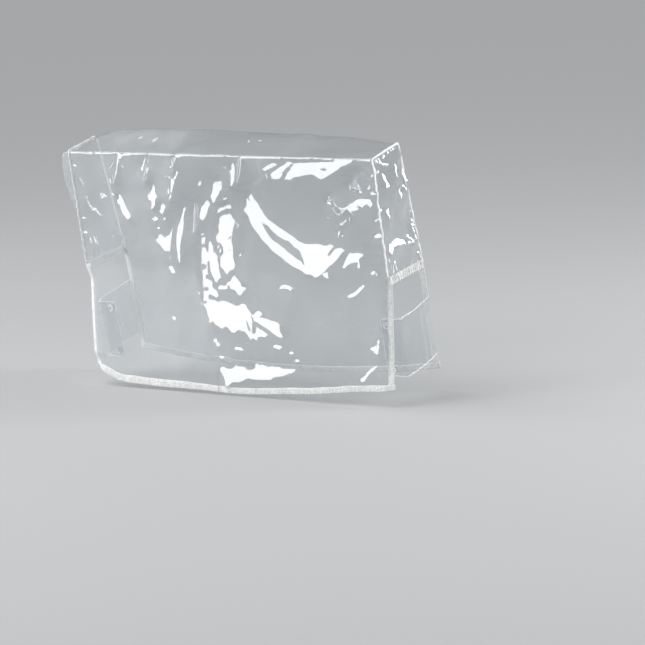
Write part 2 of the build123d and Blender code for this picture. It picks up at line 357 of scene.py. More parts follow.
# Outlines turned away from the light, which cut the lit ones
HOLLOWS = outlines(
    [44, 198, 84, 198, 84, 216, 66, 222, 44, 210],
    [55.5, 89.5, 57, 95, 63.5, 99, 69.5, 104.5, 78.5, 110.5, 84.5, 114.5, 94.5, 114.5, 99.5, 117, 104.5, 124, 113,
     123, 117, 129.5, 119.5, 138, 119, 143.5, 115, 142, 109, 138.5, 100, 137, 97, 133, 90.5, 130, 84.5, 125.5, 80.5,
     122, 73, 119, 65, 114.5, 60, 112.5, 57, 106.5, 54, 101.5, 50.5, 96.5, 53.5, 93.5],
    [158, 12, 175, 13, 170, 17, 160, 17],
    [17, 213, 22, 224, 29, 241, 24, 245, 20, 230],
    [124.5, 139, 126.5, 139.5, 128, 144, 128.5, 148.5, 121.5, 149, 121.5, 145.5],
    [166, 119, 163, 123, 158, 128.5, 155, 133, 153, 133, 156.5, 127.5, 160.5, 122.5, 164, 118.5],
    [179.5, 125, 183.5, 128, 185, 132, 181, 138.5, 177, 146, 169.5, 152, 159, 147.5, 170, 135.5, 176.5, 127],
    [36, 231, 46, 232, 58, 239, 72, 250, 60, 250, 50, 240, 43, 236, 36, 238],
    [-94, 108, -86, 104, -85, 148, -93, 150],
    [196, 46, 230, 45, 233, 50, 212, 50, 200, 54, 192, 60],
    [206, 62, 214, 62, 214, 66, 206, 66],
    [210, 112, 222, 100, 236, 100, 236, 150, 204, 146, 210, 132],
    [-40, 195, -27, 196, -30, 201, -38, 200],
    [-20, 122, -19, 134, -14, 140, -17, 142, -22, 140],
    [-24, 190, -8, 190, 8, 198, -2, 204, -14, 199, -26, 200],
)


def thinness(outline):
    """From near 0 for a broad outline to 1 for a thin one."""
    pts = np.array(outline + outline[:1], float)
    area = abs((pts[:-1, 0] * pts[1:, 1] - pts[1:, 0] * pts[:-1, 1]).sum()) / 2
    girth = np.linalg.norm(np.diff(pts, axis=0), axis=1).sum()
    return float(bell(2 * area / girth, 4.5))


LIT_WEIGHT, STRAY_WEIGHT = 160.0, 40.0  # of a slope that is asked for, against 1 elsewhere
TURN_AWAY, STRAY_TURN = 0.26, 0.25  # slopes that turn the film away from the light
SOLVER_STEPS = 1800
SOCKET_X, SOCKET_DOWN = 222.5, (228.4, 288.4)  # the press studs' sockets on the back skirt


def cross_axis(outline):
    """The direction across an outline's length, pointing down."""
    pts = np.array(outline, float)
    axis = np.linalg.eigh(np.cov((pts - pts.mean(0)).T))[1][:, 0]
    return axis if axis[1] > 0 else -axis


def relief_heights(x, y, slope_x, slope_y, weight, hold):
    """Heights on a grid whose slopes follow the wanted ones as closely as their weight asks."""

    def mid(a, axis):
        return (a[1:] + a[:-1]) / 2 if axis == 0 else (a[:, 1:] + a[:, :-1]) / 2

    step_y, step_x = np.diff(y, axis=0), np.diff(x, axis=1)
    wy, wx = mid(weight, 0) / step_y**2, mid(weight, 1) / step_x**2
    ty, tx = mid(slope_y, 0) * step_y, mid(slope_x, 1) * step_x

    def spread(fy, fx):
        out = np.zeros(x.shape)
        out[1:] += fy
        out[:-1] -= fy
        out[:, 1:] += fx
        out[:, :-1] -= fx
        return out

    diag = hold.copy()
    diag[1:] += wy
    diag[:-1] += wy
    diag[:, 1:] += wx
    diag[:, :-1] += wx
    h = np.zeros(x.shape)
    r = spread(wy * ty, wx * tx)
    z = r / diag
    p, rz = z.copy(), (r * z).sum()
    for _ in range(SOLVER_STEPS):
        ap = spread(wy * np.diff(p, axis=0), wx * np.diff(p, axis=1)) + hold * p
        alpha = rz / (p * ap).sum()
        h += alpha * p
        r -= alpha * ap
        z = r / diag
        new = (r * z).sum()
        if new < 1e-9:
            break
        p = z + new / rz * p
        rz = new
    return h


def aimed_slopes(points, first, second, outward, light, height):
    """Slopes along two directions that turn the film so that it shows a softbox from the viewpoint.
    height picks the part of the softbox, from -1 at its foot to 1 at its top."""
    spot = (np.array(light[0]) + (0, 0, height * light[3] / 2)) / MM
    normal = unit(unit(spot - points) + unit(np.array(VIEWPOINT) / MM - points))
    out = (normal * outward).sum(-1)
    return -(normal * first).sum(-1) / out, -(normal * second).sum(-1) / out


def grid_slope(heights, at, axis):
    return np.gradient(heights, axis=axis) / np.gradient(at, axis=axis)


def fold_heights(x, d):
    """How far the film of the back stands out, in millimetres, on a grid of x across and d down."""
    at, outward = on_profile(-np.maximum(d, 9))
    points = np.concatenate([x[..., None], at], -1)
    outward = in_plane(outward)
    across = np.broadcast_to(SIDEWAYS, points.shape)
    down = np.cross(across, outward)
    down = np.where(down[..., 2:] > 0, -down, down)
    lit_x, lit_d = aimed_slopes(points, across, down, outward, KEY, -0.35)
    side_x, side_d = aimed_slopes(points, across, down, outward, LEFT_STRIP, -0.3)
    wx = x + 0.9 * waves(7, x, d, 8)
    wd = d + 0.9 * waves(8, x, d, 8)
    slope_d = 0.014 * waves(5, x, d, 45) + 0.012 * waves(9, x, d, 16)
    slope_x = 0.035 * waves(6, x, d * 0.35, 34) + 0.015 * waves(10, x, d * 0.5, 14)
    weight = np.ones(x.shape)
    rough_d = 0.026 * waves(3, x, d, 20) + 0.016 * waves(2, x, d, 9)
    rough_x = 0.03 * waves(4, x, d, 24)
    for outline in FACETS + SIDE_FACETS:
        thin = thinness(outline)
        hit = inside(wx * (1 - thin) + x * thin, wd * (1 - thin) + d * thin, outline)
        if outline in SIDE_FACETS:
            slope_d[hit], slope_x[hit] = side_d[hit], side_x[hit]
        else:
            slope_d[hit] = (lit_d * (1 + 0.30 * thin) + rough_d)[hit]
            slope_x[hit] = (lit_x + rough_x)[hit]
        weight[hit] = LIT_WEIGHT
    for outline in HOLLOWS:
        hit = inside(wx, wd, outline)
        axis = cross_axis(outline)
        slope_x[hit] = lit_x[hit] - TURN_AWAY * axis[0]
        slope_d[hit] = lit_d[hit] - TURN_AWAY * axis[1]
        weight[hit] = LIT_WEIGHT
    side = HALF - np.abs(x)
    hold = np.where(d < BACK, 4.0 * bell(side, 5.0), 0.02)
    hold = hold + 30.0 * bell(d, 2.0) + 0.08 * ramp(292, 318, d) + 0.0008
    for down_to in SOCKET_DOWN:
        for across_to in (SOCKET_X, -SOCKET_X):
            hold = hold + 3.0 * bell(np.hypot(x - across_to, d - down_to), 8.0)
    heights = relief_heights(x, d, slope_x, slope_d, weight, hold)
    for _ in range(2):
        # turn away from the light whatever else would show it
        fall = grid_slope(heights, d, 0) - lit_d
        side = grid_slope(heights, x, 1) - lit_x
        stray = (weight < LIT_WEIGHT) & (fall > -0.16) & (fall < 0.28) & (np.abs(side) < 0.14)
        slope_d[stray] = lit_d[stray] - STRAY_TURN
        weight[stray] = STRAY_WEIGHT
        heights = relief_heights(x, d, slope_x, slope_d, weight, hold)
    return heights


# ---- the clear sheet
COLUMNS = 237
# the back's long fold, the hem's drop below its bow, and how far the right slit edge turns forward,
# as tables of where and how much
LONG_FOLD = ([0, 75, 112, 150, 200, 240, 320], [-68, -64, -61, -58.5, -51, -44, -30])
HEM_DROP = (
    [-232, -220, -211, -198, -184, -158, -130, -91, -52, -13, 30, 63, 101, 126, 151, 175, 200, 224],
    [1.0, 0, -2.3, -6.3, -7.0, -5.1, -3.5, -0.8, 0.9, 0, 1, 2.8, 3.3, 3.2, 3.9, 4.4, 3.5, 1.4],
)
RIGHT_SLIT_TURN = ([BACK - 4, BACK + 5, 260, 310], [0, 7.5, 6.0, 2.5])
LEFT_SLIT_TURN = 9.0
LEFT_CORNER_MOVE, CORNER_REACH = np.array((-4.0, 13.0, 3.0)), 25
ARCH_HEIGHT, ARCH_TILT = 13.4, 2.6  # of the film over the top, higher at the left


def spaced(low, high, count, gap):
    """Points from low to high, closer where gap(x) is smaller."""
    fine = np.linspace(low, high, 4000)
    run = np.concatenate(([0], np.cumsum(1 / gap((fine[1:] + fine[:-1]) / 2))))
    return np.interp(np.linspace(0, run[-1], count), run, fine)


def column_gap(x):
    """Columns are closer where the folds are finest."""
    return 2.5 - 0.95 * ramp(-125, -112, x) * ramp(75, 50, x) - 0.4 * ramp(-185, -175, x) * ramp(-140, -150, x)


X = spaced(-HALF + FILM / 2, HALF - FILM / 2, COLUMNS, column_gap)


def sheet_points():
    """The sheet's middle surface: a grid with columns across and rows from the rear hem over the
    top to the front hem, with each row's distance along the sheet."""
    foot = TOP + FRONT
    back_rows = np.concatenate([np.linspace(-BACK - BACK_SKIRT, -BACK, 76)[:-1], np.linspace(-BACK, -1.6, 90)])
    rows = np.concatenate([
        back_rows, [0, 1.6], np.linspace(3.4, TOP, 19), np.linspace(TOP + 2.5, TOP + 12, 4),
        np.linspace(TOP + 16, foot, 22)[:-1], np.linspace(foot, foot + FRONT_SKIRT, 19),
    ])
    s = np.repeat(rows[:, None], COLUMNS, 1)
    x = np.repeat(X[None], len(rows), 0)
    past_back, past_front, bow = -BACK - s, s - foot, BOW * (1 - (x / HALF) ** 2)
    s = np.where(past_back > 0, s - past_back / BACK_SKIRT * bow, s)
    s = np.where(past_front > 0, s + past_front / FRONT_SKIRT * bow, s)
    point, normal = on_profile(s)
    lift = np.zeros(s.shape)
    count = len(back_rows) + 1
    lift[:count] = fold_heights(x[:count][::-1], -s[:count][::-1])[::-1]
    # the long fold that runs down to the hem, with the film right of it hanging a little lower
    fold_x = np.interp(-s, *LONG_FOLD)
    lift += 0.8 * np.tanh((fold_x - x) / 1.8) * bell(x - fold_x, 14) * ramp(-20, -90, s)
    # the rear fold wanders
    lift += bell(s, 8) * (0.18 * waves(29, x, 0 * x, 12) + 0.25 * waves(30, x, 0 * x, 31))
    in_by = HALF - np.abs(x)
    edge = ramp(0, 26, in_by)
    # the film arches over the top, highest left of the middle and near the front fold
    t, e = s / TOP, s - TOP
    arch = (1 - (np.abs(x + 30 * (1 - (x / HALF) ** 2)) / HALF) ** 4.2).clip(0, 1)
    over = np.where(t < 1, ramp(-0.06, 0.95, t), ramp(75, 0, e))
    lift += over * arch * (ARCH_HEIGHT - ARCH_TILT * x / HALF + 0.8 * waves(11, x, s * 2, 95))
    lift += ramp(-0.06, 0.3, t) * ramp(1.0, 0.8, t) * edge * (0.6 * waves(12, x, s, 40) + 0.2 * waves(19, x, s, 14))
    # the front, pulled over a cushion
    front = ramp(2, 40, e)
    lift += front * edge * (3.0 + 1.5 * waves(13, x, e, 90) + 0.45 * waves(14, x, e * 0.5, 30)) * ramp(330, 60, e)
    lift += front * edge * (1.2 * waves(15, x, e * 0.4, 60)) * ramp(170, 230, e)
    # puckers from the side seams
    seam = bell(in_by, 14) * ramp(-BACK, -BACK + 8, s) * ramp(foot, foot - 8, s)
    lift += seam * ramp(0, 5, in_by) * 0.55 * waves(16, x * 0.1, s, 11)

    p = np.concatenate([x[..., None], point + normal * lift[..., None]], -1)
    # the slit edges turn forward, the left one's corner most, and the hem drops past the long fold
    d, left = -s, x < 0
    p[..., 1] += LEFT_SLIT_TURN * bell(in_by, 9) * ramp(BACK + 2, BACK + 24, d) * left
    p[..., 1] += bell(in_by, 9) * np.interp(d, *RIGHT_SLIT_TURN) * (x > 0)
    tip = ramp(CORNER_REACH, 0, np.hypot(in_by, np.maximum(BACK + BACK_SKIRT - d, 0))) * (d > BACK) * left
    p += tip[..., None] * LEFT_CORNER_MOVE
    p[..., 2] += np.interp(x, *HEM_DROP) * ramp(210, 300, d)
    # the free edges beside the slits wander a little
    slit = ramp(BACK, BACK + 40, d) * bell(in_by, 14)
    p[..., 1] += slit * 0.7 * waves(17, x * 0.2, d, 80)
    return p, s, x


POINTS, S, XX = sheet_points()
ROW_S = S[:, 0]
uv = np.stack([XX + 500, S + 500], -1)
up = in_plane(on_profile(S)[1])
coarse_row = int(np.argmax(ROW_S > TOP + 12))
film_sheet = shell("film_sheet", POINTS, FILM, uv, up, coarse_from=coarse_row)
NORMALS = grid_normals(POINTS)
if (NORMALS * up).sum(-1).mean() < 0:
    NORMALS = -NORMALS
register(film_sheet, "film", "cover", "main_sheet")


def side_edge(rows, column):
    """A side edge of the sheet: its points, the direction out past it and the sheet's normal."""
    path = POINTS[rows, column]
    return path, unit(path - POINTS[rows, 1 if column == 0 else -2]), NORMALS[rows, column]


def hem_edge(row):
    return POINTS[row], unit(POINTS[row] - POINTS[1 if row == 0 else -2]), NORMALS[row]


# ---- white tape folded over the raw edges
def tape_section(width, half_thickness, past, points=9):
    """A flattened loop: two faces of tape lying on the sheet, joined by the fold past its edge."""
    steps = [(width - half_thickness) * k / (points - 1) for k in range(points)]
    turns = [-pi / 2 + pi * k / 6 for k in range(1, 6)]
    loop = [(past - half_thickness - step, half_thickness) for step in steps]
    loop += [(past - width + step, -half_thickness) for step in steps]
    return loop + [(past - half_thickness + half_thickness * cos(a), half_thickness * sin(a)) for a in turns]


def ribbed(pitch, depth, slant, seed, wander=0.25, wider=0.0):
    """Fine cross ribs on a tape, its soft edges and its small wander across the edge. wider is how
    much broader it starts, as a share of its width."""

    def relief(along, sec):
        a, b = sec[..., 0], sec[..., 1]
        rib = np.sin(2 * pi * (along / pitch + slant * a * np.sign(b)) + 0.8 * waves(seed + 5, along, a, 7))
        fine = waves(seed, along + 0 * a, a * 1.3, 3.6)
        swell = 1 + depth * rib * (1 + 0.6 * waves(seed + 6, along, 0 * along, 15)) + 0.20 * fine
        thin = 1 - 0.35 * ramp(-4.5, -7.6, a)
        broad = 1 + wider * (ramp(24, 42, along) * ramp(230, 110, along) - 1.9 * ramp(36, 12, along))
        a = np.where(a < 0, a * broad, a)
        sec = sec.copy()
        sec[..., 1] = b * swell * thin + 0.12 * waves(seed + 1, along, 0 * along, 18)
        sec[..., 0] = a + wander * waves(seed + 2, along, 0 * along, 26) * (a < 0) + 0.12 * rib * (a > 0)
        return sec

    return relief


def capsule_row(name, centres, along, up_dir, length, radius):
    """Stitches: short rounded threads lying on a tape."""
    rings = [(-0.5, 0.25), (-0.38, 0.8), (-0.15, 1.0), (0.15, 1.0), (0.38, 0.8), (0.5, 0.25)]
    sides = 6
    verts, faces = [], []
    for c, t, u, w in zip(centres, along, up_dir, unit(np.cross(along, up_dir))):
        base = len(verts)
        for f, r in rings:
            sag = -radius * 0.9 * (abs(f) * 2) ** 2
            for k in range(sides):
                a = 2 * pi * k / sides
                verts.append(c + t * f * length + u * (sag + radius * r * sin(a)) + w * radius * r * cos(a))
        for i in range(len(rings) - 1):
            low = base + i * sides
            for k in range(sides):
                q = (k + 1) % sides
                faces.append((low + k, low + q, low + sides + q, low + sides + k))
        faces.append(tuple(base + k for k in range(sides)))
        faces.append(tuple(base + (len(rings) - 1) * sides + k for k in range(sides))[::-1])
    obj = make_mesh(name, np.array(verts), faces)
    register(outward_faces(obj), "thread", "cover")


def stitches_on(name, path, side, normal, inset, lift, pitch=3.1):
    """Two rows of stitches along an edge, one on each face of its tape."""
    along, path, side, normal = resample(path, pitch, (side, normal))
    side, normal = unit(side), unit(normal)
    t = unit(np.gradient(path, axis=0))
    rows = []
    for face in (1, -1):
        c = path + side * inset + normal * face * lift
        rows.append((c[1:-1], t[1:-1], normal[1:-1] * face))
    capsule_row(name, *(np.concatenate([r[k] for r in rows]) for k in range(3)), 2.3, 0.3)


def row_at(distance):
    return int(np.argmin(np.abs(ROW_S - distance)))


def bind(name, node, edge, section, relief, inset, lift):
    """Tape folded over an edge, with its stitches."""
    tape = outward_faces(sweep(f"{name}_binding", *edge, section, relief=relief))
    register(tape, "tape", "cover", node)
    stitches_on(f"{name}_stitches", *edge, inset, lift)


SLIT_TAPE_HALF, HEM_TAPE_HALF, HEM_PAST_END = 0.85, 1.1, 2.2
rear_row, front_row, foot_back, foot_front = (row_at(at) for at in (0, TOP, -BACK, TOP + FRONT))
slit_section = tape_section(8.0, SLIT_TAPE_HALF, 0.9)
hem_section = tape_section(8.6, HEM_TAPE_HALF, 1.0)
for k, (face, rows) in enumerate((("back", slice(0, foot_back + 1)), ("front", slice(foot_front, None)))):
    for j, (side_name, column) in enumerate((("left", 0), ("right", -1))):
        name = f"{face}_{side_name}_slit"
        relief = ribbed(2.3, 0.16, 0.13, 40 + 3 * (2 * k + j))
        bind(name, f"{name}_tape", side_edge(rows, column), slit_section, relief, -5.6, SLIT_TAPE_HALF)
for k, (face, row) in enumerate((("back", 0), ("front", -1))):
    path, out, normal = hem_edge(row)
    ends = [path[end] + unit(path[end] - path[inner]) * HEM_PAST_END for end, inner in ((0, 1), (-1, -2))]
    path = np.concatenate([ends[0][None], path, ends[1][None]])
    out = np.concatenate([out[:1], out, out[-1:]])
    normal = np.concatenate([normal[:1], normal, normal[-1:]])
    relief = ribbed(2.5, 0.16, -0.15, 60 + 3 * k, wider=0.26 * (1 - k))
    bind(f"{face}_hem", f"{face}_hem_tape", (path, out, normal), hem_section, relief, -6.0, HEM_TAPE_HALF - 0.05)

# ---- gussets
GUSSET_DEPTH, GUSSET_HEIGHT = 85, 165
GUSSET_DROP = 6.0  # its lower edge hangs this much below its foot
foot_slope = -(FRONT_FOOT - REAR_FOOT)[1] / (FRONT_FOOT - REAR_FOOT)[0]


def gusset_grid(column):
    """A gusset as a patch between the sheet's side edges: u from the rear seam to the front seam,
    v from the foot up to the top seam."""
    nu, nv = 58, 96
    rear = POINTS[foot_back : rear_row + 1, column]
    top = POINTS[rear_row : front_row + 1, column]
    front = POINTS[front_row : foot_front + 1, column][::-1]

    def at(path, count):
        run = distances(path)
        return columns(np.linspace(0, run[-1], count), run, path)

    drop = np.array((0, -GUSSET_DROP * foot_slope, -GUSSET_DROP))
    rear = np.concatenate([[rear[0] + drop + (0, 1.4, 0)], rear])
    front = np.concatenate([[front[0] + drop - (0, 1.4, 0)], front])
    rear, front, top = at(rear, nv), at(front, nv), at(top, nu)
    low = rear[0] + (front[0] - rear[0]) * np.linspace(0, 1, nu)[:, None]
    u, v = np.linspace(0, 1, nu)[:, None, None], np.linspace(0, 1, nv)[None, :, None]
    p = (1 - u) * rear[None] + u * front[None] + (1 - v) * low[:, None] + v * top[:, None]
    p = p - (1 - u) * (1 - v) * low[0] - u * (1 - v) * low[-1] - (1 - u) * v * top[0] - u * v * top[-1]
    return p, u[..., 0] + 0 * v[..., 0], v[..., 0] + 0 * u[..., 0]


# Lit facets of the right gusset, as (y, distance below the origin)
GUSSET_FACETS = outlines(
    [3, 130, 8, 122, 18, 117, 30, 115, 45, 118, 52, 122, 50, 127, 40, 125, 25, 123, 14, 125, 6, 132],
    [-10, 7, -1, 8, 3, 18, -6, 21],
    [-26, 17, -12, 21, 1, 31, 9, 45, 4, 47, -6, 35, -18, 26],
    [9, 20, 14, 29, 16, 43, 12, 43, 9, 30],
    [19, 49, 31, 48, 31, 53, 19, 54],
    [57, 80, 62, 80, 63, 122, 58, 120],
    [-12, 60, -8, 60, -4, 84, -8, 86],
    [26, 18, 30, 18, 40, 40, 36, 42],
)

GATHER_PITCH, GATHER_DEPTH = 5.6, 0.75
RIDGE_SECTION = [(-0.2, -0.75), (1.0, -0.8), (1.9, -0.7), (2.4, -0.35), (2.5, 0.0), (2.4, 0.35), (1.9, 0.7),
                 (1.0, 0.8), (-0.2, 0.75), (-0.5, 0.0)]

for side_name, column, sign in (("left", 0, -1), ("right", -1, 1)):
    p, u, v = gusset_grid(column)
    y, z = p[..., 1], p[..., 2]
    from_sides, from_top = np.minimum(u, 1 - u) * GUSSET_DEPTH, (1 - v) * GUSSET_HEIGHT
    rim = np.minimum(from_sides, from_top)
    slope_y, slope_z = 0.05 * waves(26, y, z, 22), 0.05 * waves(27, y, z, 22)
    weight = np.ones(y.shape)
    if sign < 0:
        body = ramp(-3, 7, np.minimum(u * GUSSET_DEPTH, from_top)) * ramp(0, 45, (1 - u) * GUSSET_DEPTH)
        body *= ramp(0.055, 0.32, v) * ramp(0, 2.5, rim)
        swell = 18.5 * bell(v - 0.80, 0.36) + 1.2 * waves(21, y, z, 50)
    else:
        body = ramp(0, 13, rim) * ramp(0.055, 0.32, v)
        swell = 7.5 * bell(v - 0.84, 0.34) + 1.2 * waves(23, y, z, 42)
        outward = np.broadcast_to(SIDEWAYS, p.shape)
        lit_y, lit_z = aimed_slopes(p, np.array((0, 1.0, 0)), np.array((0, 0, 1.0)), outward, RIGHT_SIDE, 0.0)
        for outline in GUSSET_FACETS:
            hit = inside(y, -z, outline)
            slope_y[hit], slope_z[hit], weight[hit] = lit_y[hit], lit_z[hit], LIT_WEIGHT
    hold = 4.0 * bell(rim, 2.5) + 0.4 * bell(v, 0.05) + 0.002
    relief = relief_heights(z, y, slope_z, slope_y, weight, hold)
    clear = ramp(0.045, 0.075, v)
    bulge = body * swell + relief * ramp(0, 2, rim) * clear
    # puckers along the seams, strongest at the rounded top corners
    pucker = ramp(0, 3.5, rim) * bell(rim, 9)
    around = np.where(from_top < from_sides, y, z)
    bulge += clear * pucker * 0.5 * waves(25 + sign, around, rim * 0.2, 8)
    # gathers that run up from the elastic
    gather = clear * bell(v - 0.06, 0.11)
    bulge += gather * 1.3 * waves(28 + sign, y, z * 0.12, 7.5) * ramp(0, 0.05, u) * ramp(1, 0.95, u)
    p[..., 0] += sign * bulge
    obj = shell(f"{side_name}_gusset_film", p, FILM, np.stack([y + 300, z + 500], -1), (sign, 0, 0))
    register(obj, "film", "cover", f"{side_name}_gusset")

    # the welded seam ridge round the gusset
    rows = slice(foot_back, foot_front + 1)
    path = POINTS[rows, column]
    normal = in_plane(on_profile(ROW_S[rows])[1])
    x_dir = np.broadcast_to(sign * SIDEWAYS, path.shape)

    def ridge(along, sec, seed=70 + sign):
        sec = sec.copy()
        swell = 1 + 0.16 * waves(seed, along, 0 * along, 9) + 0.08 * waves(seed + 3, along, 0 * along, 4)
        sec[..., 0] *= np.clip(swell, 0.6, 1.3)
        sec[..., 1] *= 0.95 + 0.12 * waves(seed + 5, along, 0 * along, 6)
        sec[..., 1] += 0.35 * waves(seed + 7, along, 0 * along, 13) - 0.45
        return sec

    welt = sweep(f"{side_name}_seam_welt", path, normal, x_dir, RIDGE_SECTION, step=1.0, relief=ridge)
    register(outward_faces(welt), "welt", "cover", f"{side_name}_seam_piping")

    # tape gathered on elastic along the gusset's foot
    rear, front = (np.array((sign * (HALF - FILM / 2), *foot)) for foot in (REAR_FOOT, FRONT_FOOT))
    run = np.linspace(0, 1, 60)[:, None]
    foot = rear + (front - rear) * (0.016 + 0.962 * run)
    along_dir = unit(front - rear)
    up_dir = unit(np.cross(sign * SIDEWAYS, along_dir))
    up_dir = up_dir * np.sign(up_dir[2])
    foot = foot + up_dir * (-3.3 + 2.6 * run)
    ups, outs = (np.broadcast_to(direction, foot.shape) for direction in (up_dir, sign * SIDEWAYS))

    def gathers(along, sec, seed=90 + sign):
        sec = sec.copy()
        a, b = sec[..., 0], sec[..., 1]
        bulk = np.clip(0.45 + 0.55 * (1 - (a / 5.8) ** 2), 0, 1)
        turn = 2 * pi * along / GATHER_PITCH + 1.1 * waves(seed, along, 0.3 * a, 19) + 0.30 * a
        pleat = np.sin(turn) + 0.3 * np.sin(2 * turn + 0.6)
        small = np.sin(2 * pi * along / 2.1 + 1.9 * waves(seed + 1, along, 0.6 * a, 8))
        swell = 1 + 0.35 * waves(seed + 2, along, 0.5 * a, 12)
        sec[..., 1] = b * (1 + 0.12 * pleat) + GATHER_DEPTH * swell * pleat * bulk + 0.16 * small
        sec[..., 0] = a + 0.4 * np.sign(a) * pleat * (np.abs(a) > 4) + 0.2 * small
        return sec

    loop = tape_section(11.0, 1.0, 5.5, 12)
    band = sweep(f"{side_name}_gusset_gathers", foot, ups, outs, loop, step=0.45, relief=gathers)
    register(outward_faces(band), "tape", "cover", f"{side_name}_gusset_tape")

# ---- tabs
TAB_HEIGHT, TAB_SIDE, TAB_REACH, TAB_FOLD, TAB_CORNER = 81.0, 81.0, 28.8, 6.0, 5.0
TAB_X = 241.2
TAB_BELOW_FOOT = 47.8
lean_y = np.array((0.0, cos(FRONT_SKIRT_LEAN), sin(FRONT_SKIRT_LEAN)))
lean_z = np.array((0.0, -sin(FRONT_SKIRT_LEAN), cos(FRONT_SKIRT_LEAN)))
tab_origin = np.array((0.0, *FRONT_FOOT)) - TAB_BELOW_FOOT * lean_z
for side_name, sign in (("left", -1), ("right", 1)):
    arc = TAB_FOLD * pi / 2
    straight = TAB_SIDE - TAB_FOLD
    total = straight + arc + TAB_REACH - TAB_FOLD + FILM
    stations = np.concatenate([
        np.linspace(0, straight, 34)[:-1], np.linspace(straight, straight + arc, 9)[:-1],
        np.linspace(straight + arc, total - TAB_CORNER, 14)[:-1],
        total - TAB_CORNER * (1 - np.sin(np.linspace(0, pi / 2, 10))),
    ])
    rows = np.linspace(0, 1, 46)
    a = np.repeat(stations[:, None], len(rows), 1)
    from_end = np.clip(TAB_CORNER - (total - a), 0, TAB_CORNER)
    cut = TAB_CORNER - np.sqrt(np.maximum(TAB_CORNER**2 - from_end**2, 0))
    drop = cut + (TAB_HEIGHT - 2 * cut) * rows[None]
    turn = np.clip((a - straight) / TAB_FOLD, 0, pi / 2)
    local_y = -np.minimum(a, straight) - TAB_FOLD * np.sin(turn)
    local_x = TAB_X + FILM / 2 - TAB_FOLD * (1 - np.cos(turn)) - np.maximum(a - straight - arc, 0)
    # it bellies out between the fold and the bend
    middle = np.sin(np.clip(a / straight, 0, 1) * pi)
    out = 2.6 + 0.9 * waves(31 + sign, a, drop, 45) + 0.35 * waves(33 + sign, a, drop * 0.4, 17)
    local_x = (sign * (local_x + out * middle))[..., None] * SIDEWAYS
    p = tab_origin + local_x + local_y[..., None] * lean_y - drop[..., None] * lean_z
    border = np.minimum(np.minimum(drop - cut, TAB_HEIGHT - cut - drop), total - a)
    thickness = FILM + 0.5 * bell(border - 0.9, 0.9)
    outward = np.stack([sign * np.cos(turn), -np.sin(turn), np.zeros_like(turn)], -1)
    tab = shell(f"{side_name}_tab_film", p, thickness, np.stack([a + 300, drop + 300], -1), outward)
    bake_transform(tab)
    register(tab, "film", node=f"{side_name}_tab")

    # the tab's cut edge, thickened by the heat that sealed it; its milky white is a painted highlight, standing for
    # light caught along the edge
    rim = np.concatenate([p[:, 0], p[-1, 1:-1], p[::-1, -1]])
    inward = np.concatenate([p[:, 3], p[-4, 1:-1], p[::-1, -4]])
    facing = np.concatenate([outward[:, 0], outward[-1, 1:-1], outward[::-1, -1]])
    ring = [(0.62 * cos(2 * pi * k / 10), 0.62 * sin(2 * pi * k / 10)) for k in range(10)]

    def melted(along, sec, seed=100 + sign):
        swell = 1 + 0.14 * waves(seed, along, 0 * along, 7) + 0.06 * waves(seed + 2, along, 0 * along, 2.5)
        return sec * swell[..., None]

    facing3 = facing[:, :1] * SIDEWAYS + facing[:, 1:2] * lean_y
    bead = sweep(f"{side_name}_tab_rim", rim, unit(rim - inward), facing3, ring, step=0.8, relief=melted)
    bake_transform(outward_faces(bead))
    register(bead, "welt")


# ---- materials
class Maker:
    """Builds one material from nodes. A setting or an input is given by its name, with _ for a space,
    and an input takes either a value or the socket that feeds it."""

    def __init__(self, name):
        self.material = bpy.data.materials.new(name)
        self.material.use_nodes = True
        self.tree = self.material.node_tree
        self.tree.nodes.clear()

    def feed(self, socket, value):
        if isinstance(value, bpy.types.NodeSocket):
            self.tree.links.new(value, socket)
        elif value is not None:
            socket.default_value = value

    def node(self, kind, *values, **named):
        node = self.tree.nodes.new("ShaderNode" + kind)
        for key, value in named.items():
            if key.replace("_", " ") in node.inputs:
                self.feed(node.inputs[key.replace("_", " ")], value)
            else:
                setattr(node, key, value)
        for socket, value in zip(node.inputs, values):
            self.feed(socket, value)
        return node

    def math(self, operation, *values):
        return self.node("Math", *values, operation=operation).outputs[0]

    def noise(self, at, scale, detail, roughness):
        node = self.node("TexNoise", Vector=at, Scale=scale, Detail=detail, Roughness=roughness)
        return node.outputs["Fac"]

    def bump(self, height, strength, distance, normal=None):
        node = self.node("Bump", Height=height, Strength=strength, Distance=distance, Normal=normal)
        return node.outputs["Normal"]

    def remap(self, value, low, high, to_low=0.0, to_high=1.0, **settings):
        node = self.node("MapRange", Value=value, **settings)
        for name, bound in zip(("From Min", "From Max", "To Min", "To Max"), (low, high, to_low, to_high)):
            node.inputs[name].default_value = bound
        return node.outputs["Result"]

    def shade(self, colour, factor):
        node = self.node("Mix", data_type="RGBA", blend_type="MULTIPLY", A=colour, B=factor)
        node.inputs["Factor"].default_value = 1.0
        return node.outputs["Result"]

    def see_through(self, tint, milk_colour, milkiness, fresnel, roughness, normal):
        """A clear body with some milk in it, under a gloss."""
        clear = self.node("BsdfTransparent", Color=(*tint, 1))
        milk = self.node("BsdfDiffuse", Color=(*milk_colour, 1))
        gloss = self.node("BsdfGlossy", Color=(1, 1, 1, 1), Roughness=roughness, Normal=normal)
        hazed = self.node("MixShader", milkiness, clear.outputs["BSDF"], milk.outputs["BSDF"])
        return self.node("MixShader", fresnel, hazed.outputs["Shader"], gloss.outputs["BSDF"])

    def finish(self, surface):
        self.node("OutputMaterial", Surface=surface.outputs[0])
        return self.material


